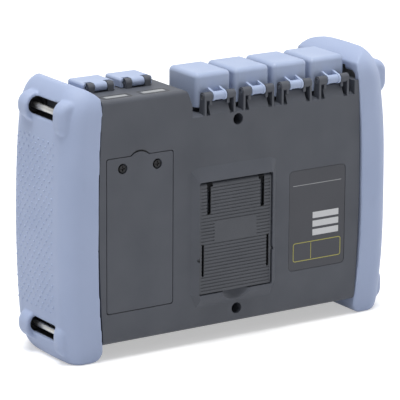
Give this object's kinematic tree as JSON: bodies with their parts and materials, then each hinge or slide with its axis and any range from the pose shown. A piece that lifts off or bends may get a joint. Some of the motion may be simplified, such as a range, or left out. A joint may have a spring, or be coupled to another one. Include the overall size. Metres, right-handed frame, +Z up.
{
  "type": "optical time domain reflectometer",
  "caption": "Handheld optical time domain reflectometer with rubber end bumpers, hinged port covers, dust covers, a folding kickstand and a battery door.",
  "frame": {"origin": "middle of the bounding box, on the surface the bumpers stand on", "axes": "+Z up, +X along the width, the rear wall with the kickstand and battery door faces +Y and the screen faces -Y"},
  "size_m": [0.2424, 0.071, 0.1668],
  "materials": {
    "case_plastic": "fine moulded texture",
    "front_plastic": "fine moulded texture",
    "bumper_rubber": "soft matt overmould",
    "cover_plastic": "satin",
    "stand_plastic": "ribbed",
    "pin_steel": "ground",
    "screw_steel": "black oxide",
    "plate_film": "printed film, left bare",
    "battery_wrap": "matt",
    "screen_glass": "hard-coated window",
    "key_rubber": "silicone",
    "adapter_green": "moulded",
    "socket_metal": "nickel plated",
    "board_green": "solder mask",
    "module_aluminium": "cast",
    "seal_rubber": "matt"
  },
  "bodies": {
    "case": {"rear_case": "case_plastic", "front_case": "front_plastic", "case_gasket": "seal_rubber", "left_bumper": "bumper_rubber", "right_bumper": "bumper_rubber", "strap_bars": "pin_steel", "port_hinge_pins": "pin_steel", "dust_hinge_pins": "pin_steel", "optical_adapter_1": "adapter_green", "optical_adapter_2": "adapter_green", "optical_adapter_3": "adapter_green", "optical_adapter_4": "adapter_green", "data_socket": "socket_metal", "charge_socket": "socket_metal", "kickstand_pin": "pin_steel", "battery_door": "case_plastic", "battery_door_screws": "screw_steel", "battery_pack": "battery_wrap", "case_screws": "screw_steel", "rating_plate": "plate_film", "display_window": "screen_glass", "display_panel": "screen_glass", "keypad_board": "board_green", "main_board": "board_green", "optical_module": "module_aluminium", "fibre_tray": "cover_plastic"},
    "port_cover_1": {"port_cover_1": "cover_plastic"},
    "port_cover_2": {"port_cover_2": "cover_plastic"},
    "port_cover_3": {"port_cover_3": "cover_plastic"},
    "port_cover_4": {"port_cover_4": "cover_plastic"},
    "dust_cover_1": {"dust_cover_1": "cover_plastic"},
    "dust_cover_2": {"dust_cover_2": "cover_plastic"},
    "kickstand": {"kickstand": "stand_plastic"},
    "power_key": {"power_key": "key_rubber"},
    "menu_key": {"menu_key": "key_rubber"},
    "escape_key": {"escape_key": "key_rubber"},
    "up_key": {"up_key": "key_rubber"},
    "left_key": {"left_key": "key_rubber"},
    "enter_key": {"enter_key": "key_rubber"},
    "right_key": {"right_key": "key_rubber"},
    "down_key": {"down_key": "key_rubber"},
    "run_key": {"run_key": "key_rubber"}
  },
  "joints": [
    {"name": "port_cover_1_hinge", "type": "hinge", "parent": "case", "child": "port_cover_1", "pos_m": [0.00965, 0.03, 0.1523], "axis": [-1, 0, 0], "range_deg": [0, 180]},
    {"name": "port_cover_2_hinge", "type": "hinge", "parent": "case", "child": "port_cover_2", "pos_m": [-0.0181, 0.03, 0.1523], "axis": [-1, 0, 0], "range_deg": [0, 180]},
    {"name": "port_cover_3_hinge", "type": "hinge", "parent": "case", "child": "port_cover_3", "pos_m": [-0.04585, 0.03, 0.1523], "axis": [-1, 0, 0], "range_deg": [0, 180]},
    {"name": "port_cover_4_hinge", "type": "hinge", "parent": "case", "child": "port_cover_4", "pos_m": [-0.0736, 0.03, 0.1523], "axis": [-1, 0, 0], "range_deg": [0, 180]},
    {"name": "dust_cover_1_hinge", "type": "hinge", "parent": "case", "child": "dust_cover_1", "pos_m": [0.0788, 0.0077, 0.1616], "axis": [-1, 0, 0], "range_deg": [0, 170]},
    {"name": "dust_cover_2_hinge", "type": "hinge", "parent": "case", "child": "dust_cover_2", "pos_m": [0.053, 0.0077, 0.1616], "axis": [-1, 0, 0], "range_deg": [0, 170]},
    {"name": "kickstand_hinge", "type": "hinge", "parent": "case", "child": "kickstand", "pos_m": [-0.0008, 0.032, 0.0982], "axis": [1, 0, 0], "range_deg": [0, 60]},
    {"name": "power_key_press", "type": "slide", "parent": "case", "child": "power_key", "axis": [0, 1, 0], "range_m": [0, 0.0008], "stiffness_N_per_m": 1500, "springref_m": -0.0003},
    {"name": "menu_key_press", "type": "slide", "parent": "case", "child": "menu_key", "axis": [0, 1, 0], "range_m": [0, 0.0008], "stiffness_N_per_m": 1500, "springref_m": -0.0003},
    {"name": "escape_key_press", "type": "slide", "parent": "case", "child": "escape_key", "axis": [0, 1, 0], "range_m": [0, 0.0008], "stiffness_N_per_m": 1500, "springref_m": -0.0003},
    {"name": "up_key_press", "type": "slide", "parent": "case", "child": "up_key", "axis": [0, 1, 0], "range_m": [0, 0.0008], "stiffness_N_per_m": 1500, "springref_m": -0.0003},
    {"name": "left_key_press", "type": "slide", "parent": "case", "child": "left_key", "axis": [0, 1, 0], "range_m": [0, 0.0008], "stiffness_N_per_m": 1500, "springref_m": -0.0003},
    {"name": "enter_key_press", "type": "slide", "parent": "case", "child": "enter_key", "axis": [0, 1, 0], "range_m": [0, 0.0008], "stiffness_N_per_m": 1500, "springref_m": -0.0003},
    {"name": "right_key_press", "type": "slide", "parent": "case", "child": "right_key", "axis": [0, 1, 0], "range_m": [0, 0.0008], "stiffness_N_per_m": 1500, "springref_m": -0.0003},
    {"name": "down_key_press", "type": "slide", "parent": "case", "child": "down_key", "axis": [0, 1, 0], "range_m": [0, 0.0008], "stiffness_N_per_m": 1500, "springref_m": -0.0003},
    {"name": "run_key_press", "type": "slide", "parent": "case", "child": "run_key", "axis": [0, 1, 0], "range_m": [0, 0.0008], "stiffness_N_per_m": 1500, "springref_m": -0.0003}
  ]
}
